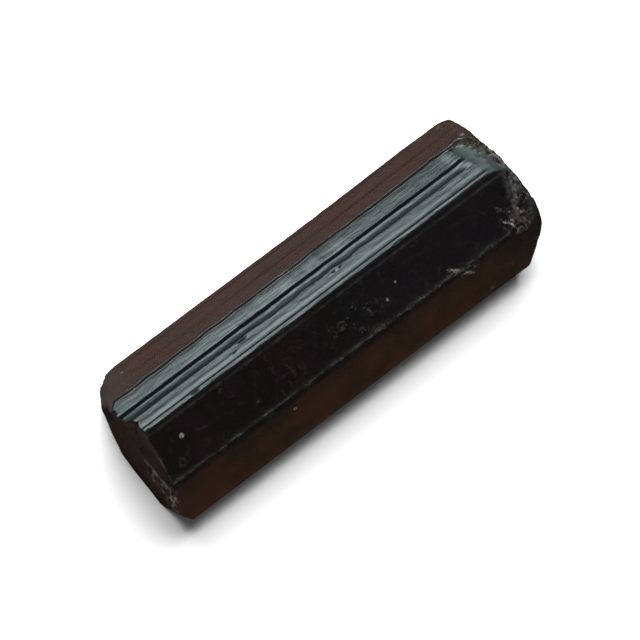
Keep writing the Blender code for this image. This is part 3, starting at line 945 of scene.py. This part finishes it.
pale = pale + stone.mask("faint_line") * (0.010 + 0.03 * stone.between(blotch, 0.35, 0.65))
pale = pale + stone.mask("on_upper_near") * torn * scratch * 0.014
pale = pale + stone.mask("near_rim") * torn * stone.between(grit, 0.48, 0.60) * 0.06
scratched = stone.mask("stroke") * (0.10 + 0.9 * stone.between(grit, 0.42, 0.56))
pale = pale + scratched * (0.5 + 0.6 * torn)
# The lumps get pale flecks: painted highlights where they catch the light.
lump_highlight = stone.mask("lumps") * stone.between(blotch, 0.46, 0.58)
pale = pale + lump_highlight * stone.between(grit, 0.35, 0.6) * 0.45
for place, radius, much in SPECKS_AND_HIGHLIGHTS:
    pale = pale + stone.near_to(even, place, radius) * stone.between(grit, 0.38, 0.60) * much
pale = stone.clamped(pale)
tone = stone.colour(pale, tone, FLECK)

# The ends, chips and dull ledges are rough and barely shine. The rest is polished stone. The bump
# is only for relief too fine for the mesh.
REFRACTION = 1.64
BUMP_HEIGHT = 0.01 * MM
worn = 0.85 * at_left + 0.8 * crusty + 0.55 * stone.mask("crest_end")
matte = stone.clamped(worn + 0.4 * broken + 0.5 * ledge_dull_and_shade + 0.6 * stone.mask("dark_line") + pale)
gloss = 0.17 + 0.08 * stone.between(fine_streak, 0.3, 0.8) + 0.3 * matte
relief = patch * 2.2 + mottle * 1.2 + fine_streak * 0.3
relief = relief + grit * (0.5 * broken + 1.4 * crusty + 0.6 * pale)
relief = relief + blotch * 3.0 * (crusty + at_left)
bump = stone.node("Bump", Height=relief, Distance=BUMP_HEIGHT, Strength=0.6)
polished = stone.node(
    "BsdfPrincipled", Base_Color=tone, Roughness=gloss, Normal=bump, IOR=REFRACTION
)
rough = stone.node(
    "BsdfPrincipled", Base_Color=tone, Roughness=0.7, Normal=bump, Specular_IOR_Level=0.15
)
stone.put_on(mesh, stone.node("MixShader", i0=matte, i1=polished, i2=rough))

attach(crystal, "root")
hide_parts("tourmaline_crystal")


# ---------------------------------------------------------------------------------------------
# The table: a plain white sheet. It is lit to a clean white, and the crystal's sides do not
# pick its glare up.
# ---------------------------------------------------------------------------------------------

SHEET_HALF = 0.6
SHEET_WHITE = (0.9, 0.9, 0.9, 1.0)
table_mesh = bmesh.new()
bmesh.ops.create_grid(table_mesh, x_segments=1, y_segments=1, size=SHEET_HALF)
sheet = bpy.data.meshes.new("table")
table_mesh.to_mesh(sheet)
table_mesh.free()
table = bpy.data.objects.new("table", sheet)
bpy.context.scene.collection.objects.link(table)
paper = Finish("paper")
paper.put_on(sheet, paper.node("BsdfPrincipled", Base_Color=SHEET_WHITE, Roughness=0.9))
table.visible_glossy = False


# ---------------------------------------------------------------------------------------------
# Light and camera: a large soft light overhead, a weak one in front, a low pale window beyond the
# crystal that its crest mirrors, and a long lens looking down from the near left.
# ---------------------------------------------------------------------------------------------

world = bpy.data.worlds.new("room")
bpy.context.scene.world = world
world.use_nodes = True
room = world.node_tree.nodes["Background"].inputs
room["Color"].default_value = (0.92, 0.96, 1.0, 1.0)
room["Strength"].default_value = 0.035


def soft_light(name, size, place, towards, watts, colour):
    """A rectangular light, its middle at a place, shining towards a point."""
    lamp = bpy.data.lights.new(name, "AREA")
    lamp.shape = "RECTANGLE"
    lamp.size, lamp.size_y = size
    lamp.energy = watts
    lamp.color = colour
    holder = bpy.data.objects.new(name, lamp)
    holder.location = place
    holder.rotation_euler = (Vector(towards) - Vector(place)).to_track_quat("-Z", "Y").to_euler()
    bpy.context.scene.collection.objects.link(holder)
    return holder


MIDDLE = (0, 0, 0)
CREST_TOP = (0, 0, 0.0085)
WHITE = (1, 1, 1)
PALE_SKY = (0.84, 0.98, 1.0)
overhead = soft_light("overhead", (0.5, 0.5), (0.12, 0.16, 0.40), MIDDLE, 5.6, WHITE)
overhead.visible_glossy = False
front = soft_light("front", (0.3, 0.3), (-0.16, -0.40, 0.22), MIDDLE, 0.22, WHITE)
front.visible_glossy = False
soft_light("window", (0.14, 0.066), (0.106, 0.36, 0.068), CREST_TOP, 0.135, PALE_SKY)

eye = bpy.data.objects.new("camera", bpy.data.cameras.new("camera"))
bpy.context.scene.collection.objects.link(eye)
eye.data.lens = 200.0
eye.data.sensor_width = 36.0
eye.data.clip_start = 0.01
eye.data.clip_end = 10.0
aim = Vector((-0.7506, -1.0155, 4.247)) * MM
back = Vector((-0.2799, -0.3374, 0.8988)).normalized()
EYE_DISTANCE = 0.2504
eye.location = aim + back * EYE_DISTANCE
eye.rotation_euler = back.to_track_quat("Z", "Y").to_euler()
bpy.context.scene.camera = eye
bpy.context.scene.view_settings.view_transform = "Standard"
